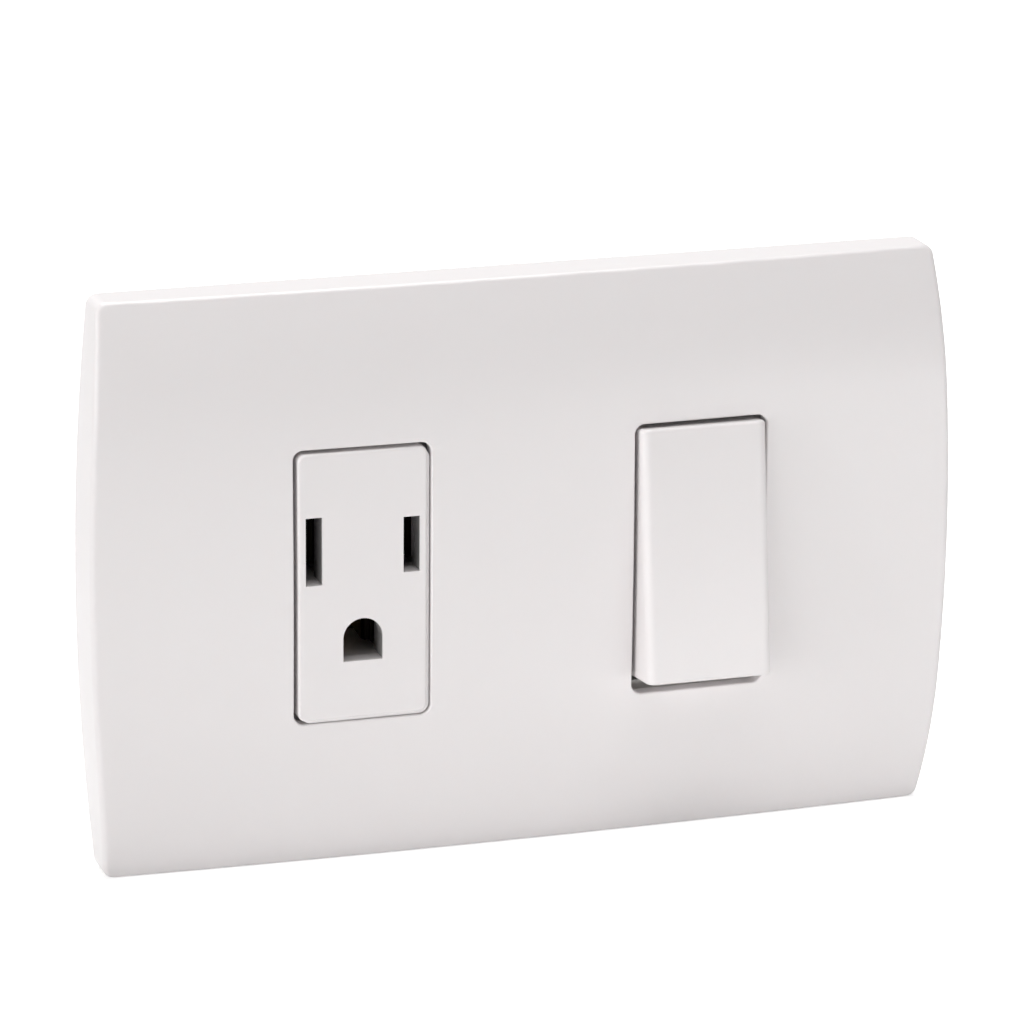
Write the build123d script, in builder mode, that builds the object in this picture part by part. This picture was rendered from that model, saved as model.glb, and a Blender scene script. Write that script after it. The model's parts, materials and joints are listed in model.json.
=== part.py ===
from build123d import *
import math
import os

# Wall plate with a three-pole socket and a rocker switch, 4 x 2 inch wall box format.
# Frame: +X to the right, +Y into the wall, +Z up. The origin is the centre of the
# mounting frame's back face, which lies on the wall. All sizes are in millimetres.

os.makedirs("parts", exist_ok=True)

# Driving dimensions of the cover plate
plate_side_overhang = 5.0
plate_end_overhang = 7.5
plate_side_bow = 2.0
plate_depth = 9.8
plate_wall = 2.0
plate_corner_radius = 1.5
plate_inner_radius = 0.8
plate_edge_radius = 0.8
vertical_crown = 3.75
middle_crown = 0.3
middle_crown_margin = 1.6
sideways_crown = 1.3
sweep_margin = 1.0
window_height = 35.8
window_side_overlap = 1.6
window_end_overlap = 2.1
window_side_gap = 0.5
window_corner_radius = 1.3
window_edge_radius = 0.25

# Driving dimensions of the mounting frame and its screws
module_pitch = 44.7
frame_end_margin = 8.25
frame_rail_width = 10.0
frame_thickness = 2.0
frame_corner_radius = 4.0
frame_rib_height = 1.2
frame_rib_width = 1.6
frame_opening_clearance = 0.2
frame_opening_radius = 0.8
frame_rib_margin = 3.0
box_screw_gap = 8.9
box_screw_radius = 1.75
box_screw_neck_radius = 1.55
box_screw_neck_end = 0.3
box_screw_tip_chamfer = 0.4
box_screw_reach = 23.0
box_screw_head_radius = 3.3
box_screw_head_height = 2.2
screw_slot_width = 4.0
screw_slot_length = 8.0
hook_width = 6.0
hook_thickness = 1.2
hook_clearance = 0.3
hook_barb = 0.6
hook_lip = 1.0
hook_spacing = 60.0
rebate_depth = 0.8
rebate_width = 1.4

# Driving dimensions that both modules share
shoulder_recess = 4.3
module_wall = 1.5
module_corner_radius = 1.0
parting_depth = 8.0
ledge_width = 14.0
ledge_reach = 2.0
ledge_thickness = 1.5
nose_width = 8.0
nose_reach = 1.1
nose_length = 2.1
seat_gap = 0.1

# Terminals: a brass pad, a clamp plate above it and a screw from the back
terminal_end_margin = 5.5
pad_size = 7.0
strip_thickness = 0.8
strip_width = 4.0
strip_bend_inset = 2.7
wire_gap = 2.0
clamp_thickness = 1.0
clamp_corner_radius = 0.6
well_clearance = 0.4
well_floor = 1.5
well_floor_gap = 2.0
terminal_screw_radius = 1.7
terminal_screw_length = 6.5
terminal_head_radius = 3.2
terminal_head_height = 2.2
terminal_head_sink = 0.8
thread_clearance = 0.05
clamp_hole_clearance = 0.2
wire_slot_width = 5.5
wire_slot_depth = 3.6
drive_slot_width = 0.9
drive_slot_depth = 1.0

# Case screws that hold the front and rear halves of a module together
case_screw_radius = 1.25
case_screw_length = 18.0
case_head_radius = 2.6
case_head_height = 1.8
case_head_sink = 0.3
case_boss_wall = 0.9
case_boss_length = 1.4
post_radius = 2.3
post_wall_gap = 0.2
hole_clearance = 0.25
cut_margin = 1.0

# Driving dimensions of the socket's face and contacts
insert_recess = 0.25
insert_end_gap = 0.45
insert_corner_radius = 1.0
insert_edge_radius = 0.4
insert_ledge = 0.35
insert_ledge_depth = 0.5
face_wall = 3.05
blade_spacing = 12.7
blade_height = 4.8
blade_slot_width = 2.15
neutral_slot_height = 8.85
line_slot_height = 7.25
earth_drop = 11.75
earth_hole_radius = 2.58
earth_hole_flat = 3.0
slot_lip = 2.5
slot_relief = 0.5
throat_wall = 1.0
tower_recess = 0.5
tower_side_margin = 0.95
chamber_back = 6.3
chamber_wall = 1.0
blade_chamber_width = 4.4
blade_chamber_height = 10.0
earth_chamber_width = 7.8
earth_chamber_height = 7.8
jaw_entry_gap = 0.6
jaw_flare_length = 1.6
jaw_straight_depth = 4.0
jaw_back = 7.3
blade_jaw_height = 7.0
blade_jaw_mouth = 3.9
blade_jaw_pinch = 2.7
blade_jaw_root = 3.2
earth_jaw_height = 5.2
earth_jaw_mouth = 7.0
earth_jaw_pinch = 5.4
earth_jaw_root = 6.2
socket_post_inset = 8.5

# Driving dimensions of the switch's rocker
rocker_end_gap = 1.4
rocker_tilt = 7.0
rocker_pivot_inset = 2.1
rocker_face_distance = 9.3
rocker_skirt_distance = 1.0
rocker_face_wall = 1.8
rocker_side_wall = 1.4
rocker_side_radius = 1.2
rocker_end_radius = 0.5
rocker_opening_side_gap = 0.3
rocker_opening_end_gap = 0.85
trunnion_radius = 1.5
trunnion_reach = 1.2
trunnion_clearance = 0.06
trunnion_end_gap = 0.15
ear_length = 6.0
ear_reach = 2.2
cheek_length = 9.0
cheek_reach = 2.8
rocker_rib_distance = 2.0
rocker_rib_width = 1.2
stem_radius = 3.0
stem_bore_radius = 2.0
stem_reach = 4.9

# Driving dimensions of the switch's plunger, contact lever and contacts
plunger_clearance = 0.07
plunger_gap = 0.25
plunger_inner_reach = 0.55
plunger_tip_radius = 1.9
spring_wire_radius = 0.2
spring_coil_radius = 1.5
spring_turns = 6
lever_turn_share = 5 / 7
lever_pivot_depth = 8.5
lever_face_distance = 0.9
lever_thickness = 0.8
lever_length = 18.0
lever_width = 5.0
lever_corner_radius = 1.0
contact_end_margin = 1.5
moving_tip_radius = 1.5
moving_tip_height = 0.8
fixed_tip_radius = 1.6
fixed_tip_height = 0.8
fixed_tip_gap = 1.6
knife_gap = 0.05
knife_width = 3.0
knife_root_width = 1.6
cradle_gap = 1.4
cradle_width = 7.4
cradle_half_height = 3.0
cradle_cheek_reach = 1.5
cradle_cheek_half_height = 1.6
load_strip_low_end = 5.0
pillar_width = 7.0
switch_post_inset = 7.5
switch_post_gap = 0.2

# Widths that follow, from the blade contacts outwards
module_width = blade_spacing + blade_chamber_width + 2 * (chamber_wall + tower_side_margin)
window_width = module_width - 2 * window_side_overlap
insert_width = window_width - 2 * window_side_gap
rocker_width = window_width - 2 * window_side_gap
rocker_opening_width = rocker_width + 2 * rocker_opening_side_gap
cavity_width = module_width - 2 * module_wall
opening_width = module_width + 2 * frame_opening_clearance
box_screw_spacing = module_pitch + module_width + 2 * box_screw_gap
frame_width = box_screw_spacing + 2 * frame_end_margin
plate_end_width = frame_width + 2 * plate_side_overhang
socket_x = -module_pitch / 2
switch_x = module_pitch / 2
post_offset = cavity_width / 2 - post_radius - post_wall_gap

# Heights that follow from the windows
module_height = window_height + 2 * window_end_overlap
insert_height = window_height - 2 * insert_end_gap
rocker_height = window_height - 2 * rocker_end_gap
rocker_opening_height = rocker_height + 2 * rocker_opening_end_gap
cavity_height = module_height - 2 * module_wall
opening_height = module_height + 2 * frame_opening_clearance
frame_height = module_height + 2 * frame_rail_width
plate_height = frame_height + 2 * plate_end_overhang
terminal_height = module_height / 2 - terminal_end_margin
strip_bend_height = terminal_height - strip_bend_inset
socket_post_height = terminal_height - socket_post_inset
switch_post_height = terminal_height - switch_post_inset
well_half = pad_size / 2 + well_clearance
block_start = terminal_height - well_half - module_wall / 2
socket_terminal_offset = cavity_width / 2 - well_half

# Depths that follow from the plate's face, at the front
insert_face = insert_recess - plate_depth
module_shoulder = shoulder_recess - plate_depth
chamber_front = module_shoulder + module_wall
tower_front = module_shoulder + tower_recess
jaw_start = chamber_front + jaw_entry_gap
jaw_pinch_depth = jaw_start + jaw_flare_length
rocker_pivot_depth = module_shoulder + rocker_pivot_inset
cheek_back = rocker_pivot_depth + cheek_reach
switch_post_front = rocker_pivot_depth + ear_reach + switch_post_gap
shell_edge = frame_thickness + seat_gap

# Depths that follow from the lever's knife edge, at the back
lever_tilt = lever_turn_share * rocker_tilt
contact_height = lever_length / 2 - contact_end_margin
plunger_tip_reach = lever_pivot_depth - lever_face_distance - rocker_pivot_depth - plunger_gap
plunger_length = plunger_tip_reach + plunger_inner_reach
cradle_depth = lever_pivot_depth + cradle_gap
cradle_cheek_front = lever_pivot_depth - cradle_cheek_reach
fixed_tip_face = lever_pivot_depth + fixed_tip_gap
load_front = fixed_tip_face + fixed_tip_height
load_back = load_front + strip_thickness
well_floor_front = load_back + well_floor_gap
pad_seat_depth = well_floor_front + well_floor
pad_back = pad_seat_depth + strip_thickness
clamp_front = pad_back + wire_gap
clamp_back = clamp_front + clamp_thickness
module_back = clamp_back + terminal_head_height + terminal_head_sink
case_head_seat = module_back - case_head_height - case_head_sink

# The two ends or sides of a symmetric piece
module_halves = (1, -1)


def facing_plane(depth, x=0.0, z=0.0):
    """A plane parallel to the wall at a depth, whose normal points out of the wall."""
    return Plane(origin=(x, depth, z), x_dir=(1, 0, 0), z_dir=(0, -1, 0))


def tilted_plane(angle, distance, x, pivot_depth):
    """A facing plane turned about a level pivot, at a distance in front of that pivot."""
    turn = math.radians(angle)
    normal = Vector(0, -math.cos(turn), -math.sin(turn))
    pivot = Vector(x, pivot_depth, 0)
    return Plane(origin=pivot + normal * distance, x_dir=(1, 0, 0), z_dir=normal)


def block(x_range, y_range, z_range, mode=Mode.ADD):
    """A box between low and high limits, in the builder that is open."""
    middle = [(low + high) / 2 for low, high in (x_range, y_range, z_range)]
    with Locations(tuple(middle)):
        Box(
            x_range[1] - x_range[0],
            y_range[1] - y_range[0],
            z_range[1] - z_range[0],
            mode=mode,
        )


def ordered(first, second):
    """Two limits in rising order."""
    return (min(first, second), max(first, second))


def rod(depth_range, x, z, radius, mode=Mode.ADD):
    """A round rod square to the wall, in the builder that is open."""
    with BuildSketch(facing_plane(depth_range[1], x, z)) as section:
        Circle(radius)
    extrude(section.sketch, amount=depth_range[1] - depth_range[0], mode=mode)


def arc_radius(half_width, rise):
    """Radius of an arc with a given rise over half its width."""
    return (half_width**2 + rise**2) / (2 * rise)


def keep(piece, name):
    """Label a finished piece and write it to its own file."""
    piece.part.label = name
    export_step(piece.part, f"parts/{name}.step")


# The crowned block that the cover plate and its hollow are made from
plate_half_width = plate_end_width / 2 + plate_side_bow
sideways_radius = arc_radius(plate_half_width, sideways_crown)
crown_axis_depth = sideways_radius - plate_depth
sweep_angle = math.degrees(math.asin(plate_half_width / sideways_radius)) + sweep_margin

# Upright, the face follows a nearly flat middle arc and a tighter arc at each end of it
middle_height = window_height / 2 + middle_crown_margin
middle_radius = arc_radius(middle_height, middle_crown)
middle_angle = math.asin(middle_height / middle_radius)
end_rise = plate_height / 2 - middle_height
end_drop = vertical_crown - middle_crown
end_slant = end_drop * math.cos(middle_angle) - end_rise * math.sin(middle_angle)
end_radius = (end_rise**2 + end_drop**2) / (2 * end_slant)
end_centre_height = (middle_radius - end_radius) * math.sin(middle_angle)
end_centre_drop = middle_radius - (middle_radius - end_radius) * math.cos(middle_angle)


def face_depth(x, z):
    """Depth of the plate's crowned face at a place on its upper or lower end arc."""
    sideways = sideways_crown * (x / plate_half_width) ** 2
    vertical = end_centre_drop - math.sqrt(end_radius**2 - (z - end_centre_height) ** 2)
    return -plate_depth + sideways + vertical


def crowned_block(inset, corner_radius):
    """The plate's outer form, drawn in evenly on its face and its four sides."""
    start = math.radians(sweep_angle)
    outward = (-math.sin(start), -math.cos(start), 0)
    section_plane = Plane(
        origin=(0, crown_axis_depth, 0),
        x_dir=outward,
        z_dir=(outward[1], -outward[0], 0),
    )
    reach = plate_height / 2 + plate_wall
    foot = sideways_radius - inset - 2 * plate_depth
    last_angle = math.asin((reach - end_centre_height) / (end_radius - inset))
    ends = []
    for angle in (middle_angle, (middle_angle + last_angle) / 2, last_angle):
        out = sideways_radius - end_centre_drop + (end_radius - inset) * math.cos(angle)
        ends.append((out, end_centre_height + (end_radius - inset) * math.sin(angle)))
    lower_ends = [(out, -height) for out, height in ends]
    with BuildPart() as body:
        with BuildSketch(section_plane):
            with BuildLine():
                ThreePointArc(lower_ends[2], lower_ends[1], lower_ends[0])
                ThreePointArc(lower_ends[0], (sideways_radius - inset, 0), ends[0])
                ThreePointArc(ends[0], ends[1], ends[2])
                Polyline(ends[2], (foot, reach), (foot, -reach), lower_ends[2])
            make_face()
        revolve(axis=Axis((0, crown_axis_depth, 0), (0, 0, 1)), revolution_arc=2 * sweep_angle)
        with BuildSketch(facing_plane(0)):
            end = plate_end_width / 2 - inset
            side = plate_half_width - inset
            top = plate_height / 2 - inset
            with BuildLine():
                Line((-end, top), (end, top))
                ThreePointArc((end, top), (side, 0), (end, -top))
                Line((end, -top), (-end, -top))
                ThreePointArc((-end, -top), (-side, 0), (-end, top))
            outline = make_face()
            fillet(outline.vertices(), corner_radius)
        extrude(amount=2 * plate_depth, mode=Mode.INTERSECT)
    return body.part


plate_form = crowned_block(0, plate_corner_radius)
plate_hollow = crowned_block(plate_wall, plate_inner_radius)
hook_seat = frame_height / 2 + hook_clearance
hook_positions = [(side * hook_spacing / 2, end) for side in module_halves for end in module_halves]

# The hollow behind the plate's face, less the four snap hooks that stand in it
with BuildPart() as hollow_form:
    add(plate_hollow)
    for x, end in hook_positions:
        sides = (x - hook_width / 2, x + hook_width / 2)
        root = face_depth(x, hook_seat) + plate_wall / 2
        leg = ordered(end * hook_seat, end * (hook_seat + hook_thickness))
        barb_inside = end * (hook_seat - hook_clearance - hook_barb)
        barb = ordered(barb_inside, end * (hook_seat + hook_thickness / 2))
        block(sides, (root, -hook_clearance), leg, mode=Mode.SUBTRACT)
        block(sides, (-hook_lip + seat_gap, -hook_clearance), barb, mode=Mode.SUBTRACT)

# Cover plate, one moulding with two windows and four snap hooks
with BuildPart() as cover_plate:
    add(plate_form)
    with BuildSketch(facing_plane(0)):
        with Locations((socket_x, 0), (switch_x, 0)):
            RectangleRounded(window_width, window_height, window_corner_radius)
    extrude(amount=2 * plate_depth, mode=Mode.SUBTRACT)
    pierced = cover_plate.faces().filter_by(lambda face: len(face.inner_wires()) == 2)
    middle = pierced.sort_by(Axis.Y)[0]
    fillet([edge for wire in middle.inner_wires() for edge in wire.edges()], window_edge_radius)
    pierced = cover_plate.faces().filter_by(lambda face: len(face.inner_wires()) == 2)
    middle = pierced.sort_by(Axis.Y)[0]
    ends = cover_plate.faces().filter_by(GeomType.TORUS).sort_by(SortBy.AREA)[-2:]
    middle_edges = middle.outer_wire().edges()
    end_edges = [edge for face in ends for edge in face.outer_wire().edges()]
    rim = [edge for edge in middle_edges if edge not in end_edges]
    rim += [edge for edge in end_edges if edge not in middle_edges]
    fillet(rim, plate_edge_radius)
    add(hollow_form.part, mode=Mode.SUBTRACT)
keep(cover_plate, "cover_plate")

# Mounting frame, a moulded support with two openings and a closed, ribbed middle
with BuildPart() as mounting_frame:
    with BuildSketch(facing_plane(0)):
        RectangleRounded(frame_width, frame_height, frame_corner_radius)
        with Locations((socket_x, 0), (switch_x, 0)):
            RectangleRounded(opening_width, opening_height, frame_opening_radius, mode=Mode.SUBTRACT)
        with Locations((-box_screw_spacing / 2, 0), (box_screw_spacing / 2, 0)):
            SlotOverall(screw_slot_length, screw_slot_width, rotation=90, mode=Mode.SUBTRACT)
    extrude(amount=frame_thickness)
    rib_back = -frame_thickness
    rib_front = rib_back - frame_rib_height
    rib_reach = frame_height / 2 - frame_rib_margin
    middle_edge = module_pitch / 2 - opening_width / 2 - frame_rib_margin
    for side in module_halves:
        upright = side * middle_edge
        block(
            (upright - frame_rib_width / 2, upright + frame_rib_width / 2),
            (rib_front, rib_back),
            (-rib_reach, rib_reach),
        )
        rail = side * rib_reach
        block(
            (-module_pitch / 2, module_pitch / 2),
            (rib_front, rib_back),
            (rail - frame_rib_width / 2, rail + frame_rib_width / 2),
        )
    for x in (socket_x, switch_x):
        for end in module_halves:
            reach = ordered(end * opening_height / 2, end * (opening_height / 2 + rebate_width))
            half = nose_width / 2 + hook_clearance
            block((x - half, x + half), (-rebate_depth, 0), reach, mode=Mode.SUBTRACT)
    for x, end in hook_positions:
        inner = frame_height / 2 - 2 * hook_barb
        half = hook_width / 2 + hook_clearance
        reach = ordered(end * inner, end * frame_height / 2)
        block((x - half, x + half), (-hook_lip, 0), reach, mode=Mode.SUBTRACT)
keep(mounting_frame, "mounting_frame")


def slotted_head(x, z, seat, radius, height):
    """A pan head with a driver slot, on the side of its seat that faces the wall."""
    with BuildSketch(facing_plane(seat + height, x, z)) as section:
        Circle(radius)
    extrude(section.sketch, amount=height)
    slot = (x - radius - cut_margin, x + radius + cut_margin)
    depth = (seat + height - drive_slot_depth, seat + height + cut_margin)
    block(slot, depth, (z - drive_slot_width / 2, z + drive_slot_width / 2), mode=Mode.SUBTRACT)


# Box screws, which hold the frame to the wall box and take their slots from the front
for side_name, side in (("left", -1), ("right", 1)):
    x = side * box_screw_spacing / 2
    with BuildPart() as box_screw:
        rod((-frame_thickness - box_screw_head_height, -frame_thickness), x, 0, box_screw_head_radius)
        fillet(box_screw.faces().sort_by(Axis.Y)[0].edges(), box_screw_head_height / 3)
        rod((-frame_thickness, box_screw_neck_end), x, 0, box_screw_neck_radius)
        rod((box_screw_neck_end, box_screw_reach), x, 0, box_screw_radius)
        chamfer(box_screw.faces().sort_by(Axis.Y)[-1].edges(), box_screw_tip_chamfer)
        slot_floor = -frame_thickness - box_screw_head_height + drive_slot_depth
        block(
            (x - box_screw_head_radius - cut_margin, x + box_screw_head_radius + cut_margin),
            (slot_floor - drive_slot_depth - cut_margin, slot_floor),
            (-drive_slot_width / 2, drive_slot_width / 2),
            mode=Mode.SUBTRACT,
        )
    keep(box_screw, f"box_screw_{side_name}")


def frame_seats(x):
    """The ledges in front of the frame and the snap noses behind it, on one module."""
    for end in module_halves:
        root = end * module_height / 2
        block(
            (x - ledge_width / 2, x + ledge_width / 2),
            (-shell_edge - ledge_thickness, -shell_edge),
            ordered(root, root + end * ledge_reach),
        )
        nose_front = -rebate_depth + seat_gap
        with BuildSketch(Plane.YZ.offset(x - nose_width / 2)) as nose:
            with BuildLine():
                Polyline(
                    (nose_front, root),
                    (nose_front, root + end * nose_reach),
                    (nose_front + nose_length, root),
                    close=True,
                )
            make_face()
        extrude(nose.sketch, amount=nose_width)


def front_body(x):
    """The outer block of a module's front half, with what holds it in the frame."""
    with BuildSketch(facing_plane(parting_depth, x)) as section:
        RectangleRounded(module_width, module_height, module_corner_radius)
    extrude(section.sketch, amount=parting_depth - module_shoulder)
    frame_seats(x)


def rear_body(x, terminals, posts):
    """A module's rear half: end blocks with open terminal wells, and its screw posts."""
    with BuildSketch(facing_plane(module_back, x)) as section:
        RectangleRounded(module_width, module_height, module_corner_radius)
    extrude(section.sketch, amount=module_back - parting_depth)
    half_width = cavity_width / 2
    half_height = cavity_height / 2
    block(
        (x - half_width, x + half_width),
        (parting_depth, module_back - module_wall),
        (-half_height, half_height),
        mode=Mode.SUBTRACT,
    )
    for end in module_halves:
        reach = ordered(end * block_start, end * half_height)
        block((x - half_width, x + half_width), (well_floor_front, module_back), reach)
    for name, offset_x, end in terminals:
        middle = x + offset_x
        height = end * terminal_height
        bend = end * strip_bend_height
        well = ordered(height - end * well_half, height + end * well_half)
        well_sides = (middle - well_half, middle + well_half)
        block(well_sides, (pad_seat_depth, module_back), well, mode=Mode.SUBTRACT)
        block(
            (middle - wire_slot_width / 2, middle + wire_slot_width / 2),
            (pad_back, pad_back + wire_slot_depth),
            ordered(height, end * module_height / 2),
            mode=Mode.SUBTRACT,
        )
        strip_half = strip_width / 2 + hole_clearance
        bend_half = strip_thickness / 2 + hole_clearance
        block(
            (middle - strip_half, middle + strip_half),
            (well_floor_front, pad_seat_depth),
            (bend - bend_half, bend + bend_half),
            mode=Mode.SUBTRACT,
        )
        tip_hole = terminal_screw_radius + hole_clearance
        rod((well_floor_front, pad_seat_depth), middle, height, tip_hole, mode=Mode.SUBTRACT)
    screw_hole = case_screw_radius + hole_clearance
    head_hole = case_head_radius + hole_clearance
    boss = (case_head_seat - case_boss_length, module_back - module_wall)
    for offset_x, z in posts:
        middle = x + offset_x
        rod((parting_depth, module_back - module_wall), middle, z, post_radius)
        rod(boss, middle, z, head_hole + case_boss_wall)
        rod((parting_depth, module_back), middle, z, screw_hole, mode=Mode.SUBTRACT)
        rod((case_head_seat, module_back), middle, z, head_hole, mode=Mode.SUBTRACT)


def terminal_strip(x, end, start_depth):
    """The back end of a contact strip, folded into a tapped pad in its well."""
    bend = end * strip_bend_height
    inner = end * (strip_bend_height - strip_thickness / 2)
    outer = end * (strip_bend_height + strip_thickness / 2)
    block((x - strip_width / 2, x + strip_width / 2), (start_depth, pad_back), ordered(inner, outer))
    pad_end = end * (terminal_height + pad_size / 2)
    block((x - pad_size / 2, x + pad_size / 2), (pad_seat_depth, pad_back), ordered(inner, pad_end))
    tapped = terminal_screw_radius + thread_clearance
    rod((pad_seat_depth, pad_back), x, end * terminal_height, tapped, mode=Mode.SUBTRACT)


def front_post(x, z, start_depth):
    """A screw post in a module's front half, with its pilot hole open to the parting."""
    rod((start_depth, parting_depth), x, z, post_radius)
    pilot = case_screw_radius + thread_clearance
    pilot_start = case_head_seat - case_screw_length - hole_clearance
    return (pilot_start, parting_depth), x, z, pilot


# Socket: two blade contacts above, one earth contact below
slot_x = blade_spacing / 2
earth_height = blade_height - earth_drop
socket_terminals = [
    ("neutral", -socket_terminal_offset, 1),
    ("line", socket_terminal_offset, 1),
    ("earth", 0.0, -1),
]
face_back = insert_face + face_wall
socket_posts = [
    (0.0, socket_post_height, face_back),
    (-post_offset, -socket_post_height, tower_front),
    (post_offset, -socket_post_height, tower_front),
]

# Socket front shell, with the face insert, the three slots and the contact towers
with BuildPart() as socket_front_shell:
    with BuildSketch(facing_plane(module_shoulder, socket_x)):
        RectangleRounded(insert_width, insert_height, insert_corner_radius)
    extrude(amount=module_shoulder - insert_face)
    fillet(socket_front_shell.faces().sort_by(Axis.Y)[0].edges(), insert_edge_radius)
    # A ledge at the right and below sets the face square in its window
    with BuildSketch(facing_plane(module_shoulder, socket_x + insert_ledge, -insert_ledge)):
        RectangleRounded(insert_width, insert_height, insert_corner_radius + insert_ledge)
    extrude(amount=module_shoulder - insert_face - insert_ledge_depth)
    front_body(socket_x)
    with BuildSketch(facing_plane(parting_depth, socket_x)):
        Rectangle(cavity_width, cavity_height)
    extrude(amount=parting_depth - chamber_front, mode=Mode.SUBTRACT)
    with BuildSketch(facing_plane(chamber_front, socket_x)):
        Rectangle(insert_width - 2 * module_wall, insert_height - 2 * module_wall)
    extrude(amount=chamber_front - face_back, mode=Mode.SUBTRACT)
    towers = [
        (-slot_x, blade_height, blade_chamber_width, blade_chamber_height),
        (slot_x, blade_height, blade_chamber_width, blade_chamber_height),
        (0.0, earth_height, earth_chamber_width, earth_chamber_height),
    ]
    throats = [
        (-slot_x, blade_height, blade_slot_width, neutral_slot_height),
        (slot_x, blade_height, blade_slot_width, neutral_slot_height),
        (0.0, earth_height, 2 * earth_hole_radius, 2 * earth_hole_flat),
    ]
    for offset_x, z, width, height in throats:
        with BuildSketch(facing_plane(tower_front, socket_x + offset_x, z)):
            Rectangle(width + 2 * throat_wall, height + 2 * throat_wall)
        extrude(amount=tower_front - face_back)
    for offset_x, z, width, height in towers:
        with BuildSketch(facing_plane(chamber_back, socket_x + offset_x, z)):
            Rectangle(width + 2 * chamber_wall, height + 2 * chamber_wall)
        extrude(amount=chamber_back - tower_front)
    pilots = [front_post(socket_x + offset_x, z, start) for offset_x, z, start in socket_posts]
    for offset_x, z, width, height in towers:
        with BuildSketch(facing_plane(chamber_back, socket_x + offset_x, z)):
            Rectangle(width, height)
        extrude(amount=chamber_back - chamber_front, mode=Mode.SUBTRACT)
    for depth_range, x, z, radius in pilots:
        rod(depth_range, x, z, radius, mode=Mode.SUBTRACT)
    with BuildSketch(facing_plane(chamber_front, socket_x)):
        with Locations((-slot_x, blade_height)):
            Rectangle(blade_slot_width, neutral_slot_height)
        with Locations((slot_x, blade_height)):
            Rectangle(blade_slot_width, line_slot_height)
        with Locations((0, earth_height)):
            Circle(earth_hole_radius)
        with Locations((0, earth_height - earth_hole_flat / 2)):
            Rectangle(2 * earth_hole_radius, earth_hole_flat)
        with Locations((0, earth_height - earth_hole_flat - earth_hole_radius)):
            Rectangle(4 * earth_hole_radius, 2 * earth_hole_radius, mode=Mode.SUBTRACT)
    extrude(amount=chamber_front - insert_face, mode=Mode.SUBTRACT)
    reliefs = [(-slot_x, neutral_slot_height), (slot_x, line_slot_height)]
    with BuildSketch(facing_plane(chamber_front, socket_x)):
        for offset_x, height in reliefs:
            with Locations((offset_x, blade_height)):
                Rectangle(blade_slot_width + 2 * slot_relief, height + 2 * slot_relief)
        with Locations((0, earth_height - earth_hole_flat / 2 + earth_hole_radius / 2)):
            relief_height = earth_hole_flat + earth_hole_radius + 2 * slot_relief
            Rectangle(2 * (earth_hole_radius + slot_relief), relief_height)
    extrude(amount=chamber_front - insert_face - slot_lip, mode=Mode.SUBTRACT)
keep(socket_front_shell, "socket_front_shell")

# Socket rear cover
with BuildPart() as socket_rear_cover:
    rear_body(socket_x, socket_terminals, [(offset_x, z) for offset_x, z, start in socket_posts])
keep(socket_rear_cover, "socket_rear_cover")


def spring_jaw(x, z, height, mouth, pinch, root):
    """Two spring leaves joined at the back, flared at the front where a pin enters."""
    with BuildSketch(Plane.XY.offset(z - height / 2)) as section:
        with BuildLine():
            Polyline(
                (x - mouth / 2, jaw_start),
                (x - pinch / 2, jaw_pinch_depth),
                (x - root / 2, jaw_straight_depth),
                (x - root / 2, jaw_back),
                (x + root / 2, jaw_back),
                (x + root / 2, jaw_straight_depth),
                (x + pinch / 2, jaw_pinch_depth),
                (x + mouth / 2, jaw_start),
                close=True,
            )
        make_face()
        offset(amount=-strip_thickness, kind=Kind.INTERSECTION, mode=Mode.SUBTRACT)
        with Locations((x, jaw_start)):
            Rectangle(mouth - 2 * strip_thickness, 2 * strip_thickness, mode=Mode.SUBTRACT)
    extrude(section.sketch, amount=height)


bridge = (jaw_back - strip_thickness, jaw_back)
blade_jaw = (blade_jaw_height, blade_jaw_mouth, blade_jaw_pinch, blade_jaw_root)
earth_jaw = (earth_jaw_height, earth_jaw_mouth, earth_jaw_pinch, earth_jaw_root)
contacts = [
    ("neutral_contact", -slot_x, blade_height, blade_jaw, -socket_terminal_offset, 1),
    ("line_contact", slot_x, blade_height, blade_jaw, socket_terminal_offset, 1),
    ("earth_contact", 0.0, earth_height, earth_jaw, 0.0, -1),
]

# Socket contacts, each one folded brass strip
for name, offset_x, z, jaw, terminal_x, end in contacts:
    with BuildPart() as contact:
        spring_jaw(socket_x + offset_x, z, *jaw)
        strip_x = socket_x + terminal_x
        riser = ordered(z, end * (strip_bend_height + strip_thickness / 2))
        block((strip_x - strip_width / 2, strip_x + strip_width / 2), bridge, riser)
        terminal_strip(strip_x, end, jaw_back - strip_thickness)
    keep(contact, name)

# Switch: a rocker above a spring plunger, which tips the contact lever
switch_terminals = [("load", 0.0, 1), ("common", 0.0, -1)]
switch_posts = [(post_offset, switch_post_height), (-post_offset, -switch_post_height)]

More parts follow.
